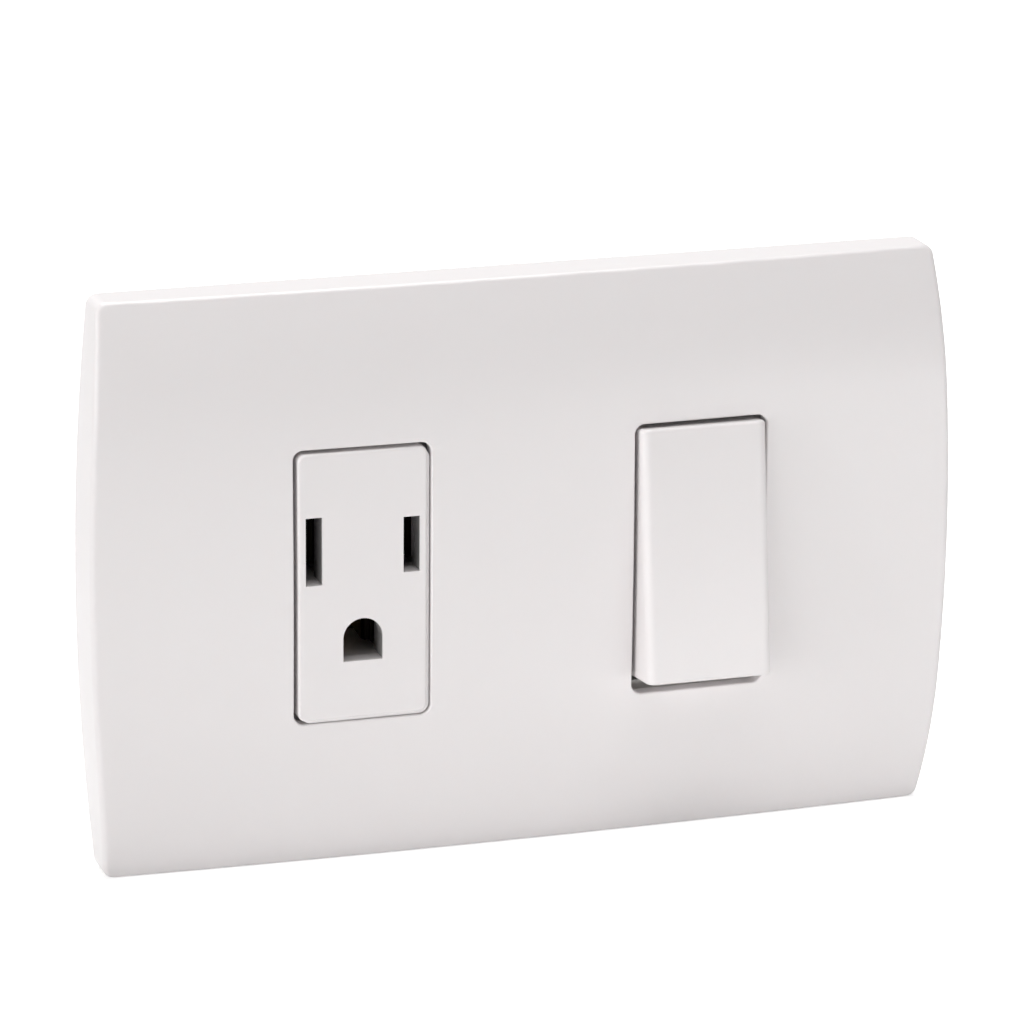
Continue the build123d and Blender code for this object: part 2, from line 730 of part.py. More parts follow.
# Switch housing, open at the front for the rocker, with blind bearings at its sides
with BuildPart() as switch_housing:
    front_body(switch_x)
    with BuildSketch(facing_plane(parting_depth, switch_x)):
        Rectangle(cavity_width, cavity_height)
    extrude(amount=parting_depth - chamber_front, mode=Mode.SUBTRACT)
    for side in module_halves:
        cheek = ordered(switch_x + side * rocker_opening_width / 2, switch_x + side * cavity_width / 2)
        block(cheek, (chamber_front, cheek_back), (-cheek_length / 2, cheek_length / 2))
    for offset_x, z in switch_posts:
        gusset = ordered(switch_x + offset_x, switch_x + math.copysign(cavity_width / 2, offset_x))
        block(gusset, (switch_post_front, parting_depth), (z - post_radius, z + post_radius))
    pilots = [front_post(switch_x + offset_x, z, switch_post_front) for offset_x, z in switch_posts]
    for depth_range, x, z, radius in pilots:
        rod(depth_range, x, z, radius, mode=Mode.SUBTRACT)
    with BuildSketch(facing_plane(chamber_front, switch_x)):
        Rectangle(rocker_opening_width, rocker_opening_height)
    extrude(amount=chamber_front - module_shoulder, mode=Mode.SUBTRACT)
    bearing_reach = rocker_width / 2 + trunnion_reach + trunnion_end_gap
    with BuildSketch(Plane.YZ.offset(switch_x - bearing_reach)):
        with Locations((rocker_pivot_depth, 0)):
            Circle(trunnion_radius + trunnion_clearance)
    extrude(amount=2 * bearing_reach, mode=Mode.SUBTRACT)
keep(switch_housing, "switch_housing")

# Switch rear cover, with the two pillars that carry the contact strips
common_back = cradle_depth + strip_thickness
with BuildPart() as switch_rear_cover:
    rear_body(switch_x, switch_terminals, switch_posts)
    pillar = (switch_x - pillar_width / 2, switch_x + pillar_width / 2)
    block(pillar, (common_back, module_back - module_wall), (-block_start, cradle_half_height - seat_gap))
    block(pillar, (load_back, module_back - module_wall), (load_strip_low_end, block_start))
keep(switch_rear_cover, "switch_rear_cover")


def rocker_plane(distance):
    """A plane along the rocker's face, at a distance in front of its pivot."""
    return tilted_plane(-rocker_tilt, distance, switch_x, rocker_pivot_depth)


face_normal = rocker_plane(0).z_dir
face_up = rocker_plane(0).y_dir
rocker_pivot = Vector(switch_x, rocker_pivot_depth, 0)
rocker_underside = rocker_face_distance - rocker_face_wall

# Rocker, one moulded cap with its trunnions, ribs and plunger tube
with BuildPart() as rocker:
    end_plane = Plane(origin=rocker_pivot - face_up * (rocker_height / 2), x_dir=(1, 0, 0), z_dir=face_up)
    with BuildSketch(end_plane):
        with BuildLine():
            Polyline(
                (-rocker_width / 2, -rocker_skirt_distance),
                (rocker_width / 2, -rocker_skirt_distance),
                (rocker_width / 2, -rocker_face_distance),
                (-rocker_width / 2, -rocker_face_distance),
                close=True,
            )
        section = make_face()
        fillet(section.vertices().group_by(Axis.Y)[0], rocker_side_radius)
    extrude(amount=rocker_height)
    along = rocker.faces().sort_by(Axis(rocker_pivot, face_up))
    end_edges = along[0].edges() + along[-1].edges()
    skirt_edges = rocker.faces().sort_by(Axis(rocker_pivot, face_normal))[0].edges()
    fillet([edge for edge in end_edges if edge not in skirt_edges], rocker_end_radius)
    with BuildSketch(rocker_plane(rocker_skirt_distance)):
        Rectangle(rocker_width - 2 * rocker_side_wall, rocker_height - 2 * rocker_side_wall)
    extrude(amount=rocker_underside - rocker_skirt_distance, mode=Mode.SUBTRACT)
    ear_middle = (rocker_width - rocker_side_wall) / 2
    with BuildSketch(rocker_plane(-ear_reach)):
        with Locations((ear_middle, 0), (-ear_middle, 0)):
            Rectangle(rocker_side_wall, ear_length)
    extrude(amount=ear_reach + 2 * rocker_skirt_distance)
    with BuildSketch(rocker_plane(rocker_rib_distance)):
        Rectangle(rocker_width - rocker_side_wall, rocker_rib_width)
    extrude(amount=rocker_underside - rocker_rib_distance)
    with BuildSketch(rocker_plane(-stem_reach)):
        Circle(stem_radius)
    extrude(amount=stem_reach + rocker_underside)
    for side in module_halves:
        start = switch_x + side * (rocker_width - rocker_side_wall) / 2
        reach = side * (rocker_side_wall / 2 + trunnion_reach)
        with BuildSketch(Plane.YZ.offset(start)):
            with Locations((rocker_pivot_depth, 0)):
                Circle(trunnion_radius)
        extrude(amount=reach)
    with BuildSketch(rocker_plane(-stem_reach)):
        Circle(stem_bore_radius)
    extrude(amount=stem_reach + rocker_underside, mode=Mode.SUBTRACT)
keep(rocker, "rocker")

# Plunger, which slides in the rocker's tube and rides on the lever
plunger_radius = stem_bore_radius - plunger_clearance
with BuildPart() as plunger:
    with BuildSketch(rocker_plane(-plunger_tip_reach)):
        Circle(plunger_radius)
    extrude(amount=plunger_length)
    tip_face = plunger.faces().sort_by(Axis.Y)[-1]
    fillet(tip_face.edges(), plunger_tip_radius)
keep(plunger, "plunger")

# Plunger spring, between the plunger's inner end and the rocker's underside
spring_start = plunger_length - plunger_tip_reach + spring_wire_radius + thread_clearance
spring_height = rocker_underside - spring_wire_radius - thread_clearance - spring_start
with BuildPart() as plunger_spring:
    with BuildLine() as coil:
        Helix(
            pitch=spring_height / spring_turns,
            height=spring_height,
            radius=spring_coil_radius,
            center=rocker_pivot + face_normal * spring_start,
            direction=face_normal,
        )
    with BuildSketch(Plane(origin=coil.line @ 0, z_dir=coil.line % 0)):
        Circle(spring_wire_radius)
    sweep(is_frenet=True)
keep(plunger_spring, "plunger_spring")


def lever_plane(distance):
    """A plane along the contact lever, at a distance in front of its knife edge."""
    return tilted_plane(lever_tilt, distance, switch_x, lever_pivot_depth)


lever_back = lever_face_distance - lever_thickness

# Contact lever, a flat strip that rocks on the common terminal's knife edge
with BuildPart() as contact_lever:
    with BuildSketch(lever_plane(lever_back)):
        RectangleRounded(lever_width, lever_length, lever_corner_radius)
    extrude(amount=lever_thickness)
keep(contact_lever, "contact_lever")

# Moving contact tip, riveted to the back of the lever
with BuildPart() as moving_contact_tip:
    with BuildSketch(lever_plane(lever_back - moving_tip_height)):
        with Locations((0, contact_height)):
            Circle(moving_tip_radius)
    extrude(amount=moving_tip_height)
keep(moving_contact_tip, "moving_contact_tip")

# Common terminal, with the knife edge and the two cheeks that guide the lever
with BuildPart() as common_terminal:
    cradle = (switch_x - cradle_width / 2, switch_x + cradle_width / 2)
    block(cradle, (cradle_depth, common_back), (-cradle_half_height, cradle_half_height))
    tail = (-strip_bend_height - strip_thickness / 2, -cradle_half_height)
    block((switch_x - strip_width / 2, switch_x + strip_width / 2), (cradle_depth, common_back), tail)
    for side in module_halves:
        edge = switch_x + side * cradle_width / 2
        cheek = ordered(edge, edge - side * strip_thickness)
        block(
            cheek,
            (cradle_cheek_front, common_back),
            (-cradle_cheek_half_height, cradle_cheek_half_height),
        )
    with BuildSketch(Plane.YZ.offset(switch_x - knife_width / 2)):
        with BuildLine():
            Polyline(
                (lever_pivot_depth + knife_gap, 0),
                (cradle_depth, knife_root_width / 2),
                (cradle_depth, -knife_root_width / 2),
                close=True,
            )
        make_face()
    extrude(amount=knife_width)
    terminal_strip(switch_x, -1, cradle_depth)
keep(common_terminal, "common_terminal")

# Load terminal and its contact tip
with BuildPart() as load_terminal:
    upright = (load_strip_low_end, strip_bend_height + strip_thickness / 2)
    block((switch_x - strip_width / 2, switch_x + strip_width / 2), (load_front, load_back), upright)
    terminal_strip(switch_x, 1, load_front)
keep(load_terminal, "load_terminal")

with BuildPart() as fixed_contact_tip:
    rod((fixed_tip_face, load_front), switch_x, contact_height, fixed_tip_radius)
keep(fixed_contact_tip, "fixed_contact_tip")

# Terminal screws and clamp plates, one of each at every terminal
wire_terminals = [(name, socket_x + offset_x, end) for name, offset_x, end in socket_terminals]
wire_terminals += [(name, switch_x + offset_x, end) for name, offset_x, end in switch_terminals]
for name, x, end in wire_terminals:
    z = end * terminal_height
    with BuildPart() as clamp_plate:
        with BuildSketch(facing_plane(clamp_back, x, z)):
            RectangleRounded(pad_size, pad_size, clamp_corner_radius)
            Circle(terminal_screw_radius + clamp_hole_clearance, mode=Mode.SUBTRACT)
        extrude(amount=clamp_thickness)
    keep(clamp_plate, f"{name}_clamp_plate")
    with BuildPart() as terminal_screw:
        rod((clamp_back - terminal_screw_length, clamp_back), x, z, terminal_screw_radius)
        slotted_head(x, z, clamp_back, terminal_head_radius, terminal_head_height)
    keep(terminal_screw, f"{name}_terminal_screw")

# Case screws, which clamp each rear cover to its front half
case_screws = [
    ("socket_case_screw_top", socket_x, socket_post_height),
    ("socket_case_screw_left", socket_x - post_offset, -socket_post_height),
    ("socket_case_screw_right", socket_x + post_offset, -socket_post_height),
    ("switch_case_screw_top", switch_x + post_offset, switch_post_height),
    ("switch_case_screw_bottom", switch_x - post_offset, -switch_post_height),
]
for name, x, z in case_screws:
    with BuildPart() as case_screw:
        rod((case_head_seat - case_screw_length, case_head_seat), x, z, case_screw_radius)
        slotted_head(x, z, case_head_seat, case_head_radius, case_head_height)
    keep(case_screw, name)
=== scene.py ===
"""Finishes, fastener threads and studio for a wall plate with a socket and a rocker switch."""

import json
import math

import bmesh
import bpy
from bpy.props import FloatProperty, FloatVectorProperty, IntProperty, PointerProperty
from mathutils import Matrix, Vector


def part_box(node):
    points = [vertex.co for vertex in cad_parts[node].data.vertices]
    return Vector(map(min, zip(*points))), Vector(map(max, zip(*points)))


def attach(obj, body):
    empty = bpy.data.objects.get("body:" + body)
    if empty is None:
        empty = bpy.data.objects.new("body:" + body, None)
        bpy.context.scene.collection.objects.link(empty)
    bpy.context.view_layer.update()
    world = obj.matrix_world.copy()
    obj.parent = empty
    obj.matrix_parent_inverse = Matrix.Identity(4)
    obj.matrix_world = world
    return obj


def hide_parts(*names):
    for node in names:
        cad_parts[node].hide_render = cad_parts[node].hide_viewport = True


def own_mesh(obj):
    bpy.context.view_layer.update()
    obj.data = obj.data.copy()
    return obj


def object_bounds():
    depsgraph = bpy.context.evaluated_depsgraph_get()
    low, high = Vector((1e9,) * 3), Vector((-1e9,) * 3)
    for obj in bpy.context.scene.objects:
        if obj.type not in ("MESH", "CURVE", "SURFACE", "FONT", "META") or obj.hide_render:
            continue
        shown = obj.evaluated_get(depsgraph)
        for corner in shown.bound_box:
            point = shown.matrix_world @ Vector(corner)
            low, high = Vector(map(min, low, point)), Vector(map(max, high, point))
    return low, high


bl_info = {
    "name": "Switch and Socket Combination",
    "version": (1, 0, 0),
    "blender": (4, 5, 0),
    "location": "3D View > Sidebar > Wall Plate",
    "description": "Plastics, metals, screw threads and studio for a wall plate with a socket and a switch",
    "category": "Object",
}

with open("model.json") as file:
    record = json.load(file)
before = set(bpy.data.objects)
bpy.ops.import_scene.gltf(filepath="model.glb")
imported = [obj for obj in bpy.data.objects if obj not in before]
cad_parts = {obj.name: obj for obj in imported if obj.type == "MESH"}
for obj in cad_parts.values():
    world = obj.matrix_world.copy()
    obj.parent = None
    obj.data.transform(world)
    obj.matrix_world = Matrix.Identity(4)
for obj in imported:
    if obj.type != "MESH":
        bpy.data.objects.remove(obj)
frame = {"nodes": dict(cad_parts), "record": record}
CAD_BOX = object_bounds()
MM = 0.001

# Where the socket's slots and hole lie, and how far to each side and end of its middle they reach
SOCKET_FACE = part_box("socket_front_shell")[0].y
SOCKET_MIDDLE = sum(corner.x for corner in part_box("socket_front_shell")) / 2
SLOTS_TO_SIDE = 7.6 * MM
SLOTS_TO_END = 13.0 * MM
# The jaws behind them reach a little further to each side
JAWS_TO_SIDE = 11.0 * MM

FLOOR_HEIGHT = CAD_BOX[0][2]
FLOOR_RADIUS = 4.0
WHITE = (1.0, 1.0, 1.0, 1.0)

NODES_OF_SLOT = {}
for subpart in frame["record"]["subparts"]:
    NODES_OF_SLOT.setdefault(subpart["material_slot"], []).append(subpart["node"])


def linear(hex_colour):
    """An sRGB hex colour as the linear RGBA that shader sockets take."""
    channels = [int(hex_colour[i : i + 2], 16) / 255 for i in (1, 3, 5)]
    return tuple(c / 12.92 if c <= 0.04045 else ((c + 0.055) / 1.055) ** 2.4 for c in channels) + (1.0,)


def per_metre(size_mm):
    """Texture scale at which one feature of a pattern is this many millimetres wide."""
    return 1.0 / (size_mm * MM)


def add_node(tree, kind, inputs=None, **settings):
    """One shader node; an input takes a value, a socket, or a node whose first output it reads."""
    node = tree.nodes.new(kind)
    for name, value in settings.items():
        setattr(node, name, value)
    for name, value in (inputs or {}).items():
        if isinstance(value, bpy.types.Node):
            value = value.outputs[0]
        if isinstance(value, bpy.types.NodeSocket):
            tree.links.new(value, node.inputs[name])
        else:
            node.inputs[name].default_value = value
    return node


def new_material(name):
    """An empty node material, its tree, and the place on the object that its patterns are drawn in."""
    material = bpy.data.materials.new(name)
    material.use_nodes = True
    tree = material.node_tree
    tree.nodes.clear()
    return material, tree, add_node(tree, "ShaderNodeTexCoord").outputs["Object"]


def darker(colour, share):
    """A colour with each channel brought down by a share."""
    return tuple(c * (1.0 - share) for c in colour[:3]) + (1.0,)


def satin_abs(name, colour, painted_slot_shade=None):
    """White ABS, injection moulded against a finely blasted steel cavity."""
    # Light scatters a little under the skin, so edges look soft. The cavity leaves a grain of
    # about 0.12 mm, drawn at 0.35 mm so that it shows, and the melt leaves waves some 9 mm long.
    material, tree, place = new_material(name)
    cloud = add_node(tree, "ShaderNodeTexNoise", {"Vector": place, "Scale": per_metre(22.0), "Detail": 3.0})
    grain = add_node(tree, "ShaderNodeTexNoise", {"Vector": place, "Scale": per_metre(0.35), "Detail": 2.0})
    waves = add_node(tree, "ShaderNodeTexNoise", {"Vector": place, "Scale": per_metre(9.0), "Detail": 1.0})
    tint = add_node(
        tree, "ShaderNodeMix", {0: cloud, 6: colour, 7: darker(colour, 0.012)}, data_type="RGBA"
    ).outputs[2]
    if painted_slot_shade is not None:
        # Painted shade: the slots' upright walls are darkened from a third of a millimetre in, standing in
        # for the shade deep inside them; their floors and ceilings stay white.
        axes = add_node(tree, "ShaderNodeSeparateXYZ", {"Vector": place})
        deep = add_node(
            tree,
            "ShaderNodeMapRange",
            {
                "Value": axes.outputs["Y"],
                "From Min": SOCKET_FACE + 0.15 * MM,
                "From Max": SOCKET_FACE + 0.45 * MM,
            },
            interpolation_type="SMOOTHSTEP",
        )
        near_middle = add_node(
            tree,
            "ShaderNodeMath",
            {0: axes.outputs["X"], 1: SOCKET_MIDDLE, 2: SLOTS_TO_SIDE},
            operation="COMPARE",
        )
        off_ends = add_node(
            tree, "ShaderNodeMath", {0: axes.outputs["Z"], 1: 0.0, 2: SLOTS_TO_END}, operation="COMPARE"
        )
        inside = add_node(tree, "ShaderNodeMath", {0: near_middle, 1: off_ends}, operation="MULTIPLY")
        normals = add_node(tree, "ShaderNodeNewGeometry").outputs["Normal"]
        facing = add_node(tree, "ShaderNodeSeparateXYZ", {"Vector": normals})
        level = add_node(tree, "ShaderNodeMath", {0: facing.outputs["Z"]}, operation="ABSOLUTE")
        upright = add_node(tree, "ShaderNodeMath", {0: 1.0, 1: level}, operation="SUBTRACT")
        walls = add_node(tree, "ShaderNodeMath", {0: inside, 1: upright}, operation="MULTIPLY")
        # Painted shade on the upright walls inside the slots
        painted_wall_shade = add_node(tree, "ShaderNodeMath", {0: walls, 1: deep}, operation="MULTIPLY")
        tint = add_node(tree, "ShaderNodeMix", {0: painted_wall_shade, 6: tint, 7: painted_slot_shade}, data_type="RGBA").outputs[2]
    gloss = add_node(
        tree,
        "ShaderNodeMapRange",
        {"Value": cloud, "From Min": 0.3, "From Max": 0.7, "To Min": 0.33, "To Max": 0.39},
    )
    wavy = add_node(tree, "ShaderNodeBump", {"Height": waves, "Distance": 0.006 * MM, "Strength": 1.0})
    grainy = add_node(
        tree, "ShaderNodeBump", {"Height": grain, "Distance": 0.0016 * MM, "Strength": 1.0, "Normal": wavy}
    )
    plastic = add_node(
        tree,
        "ShaderNodeBsdfPrincipled",
        {
            "Base Color": tint,
            "Roughness": gloss,
            "Normal": grainy,
            "IOR": 1.53,
            "Subsurface Weight": 0.06,
            "Subsurface Scale": 0.6 * MM,
            "Subsurface Radius": (1.0, 0.7, 0.6),
        },
    )
    add_node(tree, "ShaderNodeOutputMaterial", {"Surface": plastic})
    return material


def matt_polycarbonate(colour):
    """White polycarbonate for the switch housing, moulded with a spark-eroded texture."""
    # Coarser and drier than the visible face: the eroded cavity gives a grain near 0.25 mm,
    # drawn at 0.45 mm so that it shows.
    material, tree, place = new_material("matt_white_polycarbonate")
    cloud = add_node(tree, "ShaderNodeTexNoise", {"Vector": place, "Scale": per_metre(12.0), "Detail": 3.0})
    grain = add_node(tree, "ShaderNodeTexNoise", {"Vector": place, "Scale": per_metre(0.45), "Detail": 2.0})
    tint = add_node(tree, "ShaderNodeMix", {0: cloud, 6: colour, 7: darker(colour, 0.03)}, data_type="RGBA")
    gloss = add_node(
        tree,
        "ShaderNodeMapRange",
        {"Value": cloud, "From Min": 0.3, "From Max": 0.7, "To Min": 0.48, "To Max": 0.56},
    )
    eroded = add_node(tree, "ShaderNodeBump", {"Height": grain, "Distance": 0.006 * MM, "Strength": 1.0})
    plastic = add_node(
        tree,
        "ShaderNodeBsdfPrincipled",
        {"Base Color": tint.outputs[2], "Roughness": gloss, "Normal": eroded, "IOR": 1.58},
    )
    add_node(tree, "ShaderNodeOutputMaterial", {"Surface": plastic})
    return material


def filled_polyamide(name, colour, fibre_depth_mm):
    """Polyamide filled with short glass fibres, as moulded."""
    # The fibres lie along the flow and print through as a fine dry streak, about 0.5 mm wide and
    # a few millimetres long, with paler specks where they come to the skin.
    material, tree, place = new_material(name)
    along = add_node(tree, "ShaderNodeMapping", {"Vector": place, "Scale": (1.0, 1.0, 1.0 / 6.0)})
    flow = add_node(tree, "ShaderNodeTexNoise", {"Vector": place, "Scale": per_metre(16.0), "Detail": 3.0})
    fibre = add_node(tree, "ShaderNodeTexNoise", {"Vector": along, "Scale": per_metre(0.5), "Detail": 4.0})
    speck = add_node(tree, "ShaderNodeTexNoise", {"Vector": place, "Scale": per_metre(0.8), "Detail": 5.0})
    base = add_node(tree, "ShaderNodeMix", {0: flow, 6: darker(colour, 0.06), 7: colour}, data_type="RGBA")
    pale = tuple(min(1.0, c * 1.12) for c in colour[:3]) + (1.0,)
    share = add_node(
        tree,
        "ShaderNodeMapRange",
        {"Value": speck, "From Min": 0.3, "From Max": 0.7, "To Min": 0.0, "To Max": 0.35},
    )
    tint = add_node(tree, "ShaderNodeMix", {0: share, 6: base.outputs[2], 7: pale}, data_type="RGBA")
    gloss = add_node(
        tree,
        "ShaderNodeMapRange",
        {"Value": speck, "From Min": 0.3, "From Max": 0.7, "To Min": 0.46, "To Max": 0.64},
    )
    streaks = add_node(
        tree, "ShaderNodeBump", {"Height": fibre, "Distance": fibre_depth_mm * MM, "Strength": 1.0}
    )
    plastic = add_node(
        tree,
        "ShaderNodeBsdfPrincipled",
        {"Base Color": tint.outputs[2], "Roughness": gloss, "Normal": streaks, "IOR": 1.53},
    )
    add_node(tree, "ShaderNodeOutputMaterial", {"Surface": plastic})
    return material


def rolled_brass(colour):
    """Rolled brass strip, punched and folded, with a little tarnish."""
    # Rolling leaves fine parallel lines, about 0.1 mm apart on the strip and drawn at 0.25 mm
    # across so that they show, and handling leaves duller, browner clouds a few millimetres wide.
    # The front of the socket's jaws, seen through the slots, is painted near black as painted shade.
    material, tree, place = new_material("rolled_brass_strip")
    along = add_node(tree, "ShaderNodeMapping", {"Vector": place, "Scale": (1.0, 1.0 / 12.0, 1.0 / 12.0)})
    cloud = add_node(tree, "ShaderNodeTexNoise", {"Vector": place, "Scale": per_metre(3.5), "Detail": 4.0})
    lines = add_node(tree, "ShaderNodeTexNoise", {"Vector": along, "Scale": per_metre(0.25), "Detail": 2.0})
    tarnish = add_node(tree, "ShaderNodeMapRange", {"Value": cloud, "From Min": 0.3, "From Max": 0.7})
    tint = add_node(
        tree, "ShaderNodeMix", {0: tarnish, 6: colour, 7: darker(colour, 0.25)}, data_type="RGBA"
    )
    axes = add_node(tree, "ShaderNodeSeparateXYZ", {"Vector": place})
    in_front = add_node(
        tree,
        "ShaderNodeMapRange",
        {"Value": axes.outputs["Y"], "From Min": 5.5 * MM, "From Max": 2.5 * MM},
        interpolation_type="SMOOTHSTEP",
    )
    in_socket = add_node(
        tree, "ShaderNodeMath", {0: axes.outputs["X"], 1: SOCKET_MIDDLE, 2: JAWS_TO_SIDE}, operation="COMPARE"
    )
    # Painted shade: the jaws' front, deep behind the slots, is darkened near black
    painted_jaw_shade = add_node(tree, "ShaderNodeMath", {0: in_front, 1: in_socket}, operation="MULTIPLY")
    jaw_shaded_brass = add_node(
        tree, "ShaderNodeMix", {0: painted_jaw_shade, 6: tint.outputs[2], 7: linear("#16130F")}, data_type="RGBA"
    )
    dulled = add_node(tree, "ShaderNodeMath", {0: tarnish, 1: painted_jaw_shade}, operation="MAXIMUM")
    gloss = add_node(tree, "ShaderNodeMapRange", {"Value": dulled, "To Min": 0.24, "To Max": 0.42})
    rolled = add_node(tree, "ShaderNodeBump", {"Height": lines, "Distance": 0.003 * MM, "Strength": 1.0})
    metal = add_node(
        tree,
        "ShaderNodeBsdfPrincipled",
        {"Base Color": jaw_shaded_brass.outputs[2], "Roughness": gloss, "Normal": rolled, "Metallic": 1.0},
    )
    add_node(tree, "ShaderNodeOutputMaterial", {"Surface": metal})
    return material


def clouded_metal(name, colour, cloud_mm, mark_mm, mark_depth_mm, roughness, dulling):
    """A metal surface with clouds of duller film over the marks that its forming left."""
    material, tree, place = new_material(name)
    clouds = {"Vector": place, "Scale": per_metre(cloud_mm), "Detail": 4.0}
    film = add_node(tree, "ShaderNodeTexNoise", clouds)
    scores = {"Vector": place, "Scale": per_metre(mark_mm), "Detail": 3.0}
    marks = add_node(tree, "ShaderNodeTexNoise", scores)
    cloud = add_node(tree, "ShaderNodeMapRange", {"Value": film, "From Min": 0.3, "From Max": 0.7})
    tint = add_node(
        tree, "ShaderNodeMix", {0: cloud, 6: colour, 7: darker(colour, dulling)}, data_type="RGBA"
    )
    gloss = add_node(
        tree, "ShaderNodeMapRange", {"Value": cloud, "To Min": roughness, "To Max": roughness + 0.14}
    )
    marked = add_node(
        tree, "ShaderNodeBump", {"Height": marks, "Distance": mark_depth_mm * MM, "Strength": 1.0}
    )
    metal = add_node(
        tree,
        "ShaderNodeBsdfPrincipled",
        {"Base Color": tint.outputs[2], "Roughness": gloss, "Normal": marked, "Metallic": 1.0},
    )
    add_node(tree, "ShaderNodeOutputMaterial", {"Surface": metal})
    return material


def natural_nylon(colour):
    """Unfilled natural polyamide, moulded, waxy and slightly see-through."""
    # Much more light enters it than the white plastics, so its edges glow a little.
    material, tree, place = new_material("natural_polyamide")
    cloud = add_node(tree, "ShaderNodeTexNoise", {"Vector": place, "Scale": per_metre(2.5), "Detail": 3.0})
    tint = add_node(tree, "ShaderNodeMix", {0: cloud, 6: colour, 7: darker(colour, 0.05)}, data_type="RGBA")
    gloss = add_node(
        tree,
        "ShaderNodeMapRange",
        {"Value": cloud, "From Min": 0.3, "From Max": 0.7, "To Min": 0.30, "To Max": 0.42},
    )
    waxy = add_node(tree, "ShaderNodeBump", {"Height": cloud, "Distance": 0.004 * MM, "Strength": 1.0})
    plastic = add_node(
        tree,
        "ShaderNodeBsdfPrincipled",
        {
            "Base Color": tint.outputs[2],
            "Roughness": gloss,
            "Normal": waxy,
            "IOR": 1.53,
            "Subsurface Weight": 0.35,
            "Subsurface Scale": 1.2 * MM,
            "Subsurface Radius": (1.0, 0.8, 0.6),
        },
    )
    add_node(tree, "ShaderNodeOutputMaterial", {"Surface": plastic})
    return material


FINISHES = {}


def dress(material, nodes):
    """Give CAD nodes their finish."""
    for name in nodes:
        for material_slot in frame["nodes"][name].material_slots:
            material_slot.material = material


def dress_slot(slot, material):
    """Give every CAD node of a material slot its finish, and keep it for the pieces added later."""
    FINISHES[slot] = material
    dress(material, NODES_OF_SLOT[slot])


class PlateColours(bpy.types.PropertyGroup):
    """Colours of the plastics and metals."""

    white_face: FloatVectorProperty(
        name="Cover, socket face and rocker",
        description="Satin white ABS that is seen from the room",
        subtype="COLOR",
        size=4,
        min=0.0,
        max=1.0,
        default=linear("#E7E3E3"),
    )
    # Colour of the painted shade on the walls of the socket's slots
    painted_slot_shade: FloatVectorProperty(
        name="Painted slot shade",
        description="Walls of the socket's slots, darkened as painted shade",
        subtype="COLOR",
        size=4,
        min=0.0,
        max=1.0,
        default=linear("#858383"),
    )
    white_body: FloatVectorProperty(
        name="Switch housing",
        description="Matt white polycarbonate behind the plate",
        subtype="COLOR",
        size=4,
        min=0.0,
        max=1.0,
        default=linear("#E3E1DD"),
    )
    grey_frame: FloatVectorProperty(
        name="Mounting frame",
        description="Glass-filled polyamide that the modules snap into",
        subtype="COLOR",
        size=4,
        min=0.0,
        max=1.0,
        default=linear("#7D8083"),
    )
    grey_body: FloatVectorProperty(
        name="Rear covers",
        description="Glass-filled polyamide at the back of both modules",
        subtype="COLOR",
        size=4,
        min=0.0,
        max=1.0,
        default=linear("#BDBDBA"),
    )
    brass: FloatVectorProperty(
        name="Brass strip",
        description="Contacts, terminals and the contact lever",
        subtype="COLOR",
        size=4,
        min=0.0,
        max=1.0,
        default=linear("#D9B56C"),
    )
    silver: FloatVectorProperty(
        name="Contact rivets",
        description="Silver alloy that makes and breaks the circuit",
        subtype="COLOR",
        size=4,
        min=0.0,
        max=1.0,
        default=linear("#E3E0D8"),
    )
    zinc: FloatVectorProperty(
        name="Screws",
        description="Zinc plated steel",
        subtype="COLOR",
        size=4,
        min=0.0,
        max=1.0,
        default=linear("#C6C9CE"),
    )
    clamp: FloatVectorProperty(
        name="Clamp plates",
        description="Pressed steel, zinc plated",
        subtype="COLOR",
        size=4,
        min=0.0,
        max=1.0,
        default=linear("#B9BABC"),
    )
    spring: FloatVectorProperty(
        name="Spring",
        description="Hard-drawn wire",
        subtype="COLOR",
        size=4,
        min=0.0,
        max=1.0,
        default=linear("#85888C"),
    )
    nylon: FloatVectorProperty(
        name="Plunger",
        description="Natural polyamide",
        subtype="COLOR",
        size=4,
        min=0.0,
        max=1.0,
        default=linear("#E2DECF"),
    )


class ThreadSizes(bpy.types.PropertyGroup):
    """Pitches and core sizes of the screw threads."""

    machine_pitch: FloatProperty(
        name="Machine screw pitch",
        description="Thread pitch of the box and terminal screws, M3.5",
        unit="LENGTH",
        default=0.6 * MM,
        min=0.3 * MM,
    )
    machine_core: FloatProperty(
        name="Machine screw core",
        description="Core radius as a share of the outer radius",
        default=0.79,
        min=0.5,
        max=0.95,
    )
    forming_pitch: FloatProperty(
        name="Case screw pitch",
        description="Pitch of the screws that cut their own thread in plastic",
        unit="LENGTH",
        default=1.1 * MM,
        min=0.5 * MM,
    )
    forming_core: FloatProperty(
        name="Case screw core",
        description="Core radius as a share of the outer radius",
        default=0.70,
        min=0.5,
        max=0.95,
    )
    steps: IntProperty(
        name="Steps in a turn",
        description="How finely each turn of a thread is divided",
        default=24,
        min=8,
        max=64,
    )


class StudioSettings(bpy.types.PropertyGroup):
    """Camera, floor and lamps."""

    lens: FloatProperty(name="Lens", description="Focal length", unit="CAMERA", default=188.188)
    distance: FloatProperty(
        name="Camera distance", description="From the origin", unit="LENGTH", default=0.685024
    )
    yaw: FloatProperty(
        name="Yaw",
        description="How far the camera stands to the left",
        subtype="ANGLE",
        default=math.radians(17.819),
    )
    pitch: FloatProperty(
        name="Pitch",
        description="How far the camera looks down",
        subtype="ANGLE",
        default=math.radians(16.718),
    )
    roll: FloatProperty(
        name="Roll",
        description="How far the camera is tipped sideways",
        subtype="ANGLE",
        default=math.radians(0.460),
    )
    ambient: FloatProperty(
        name="Ambient", description="Strength of the light from all round", default=0.05, min=0.0
    )


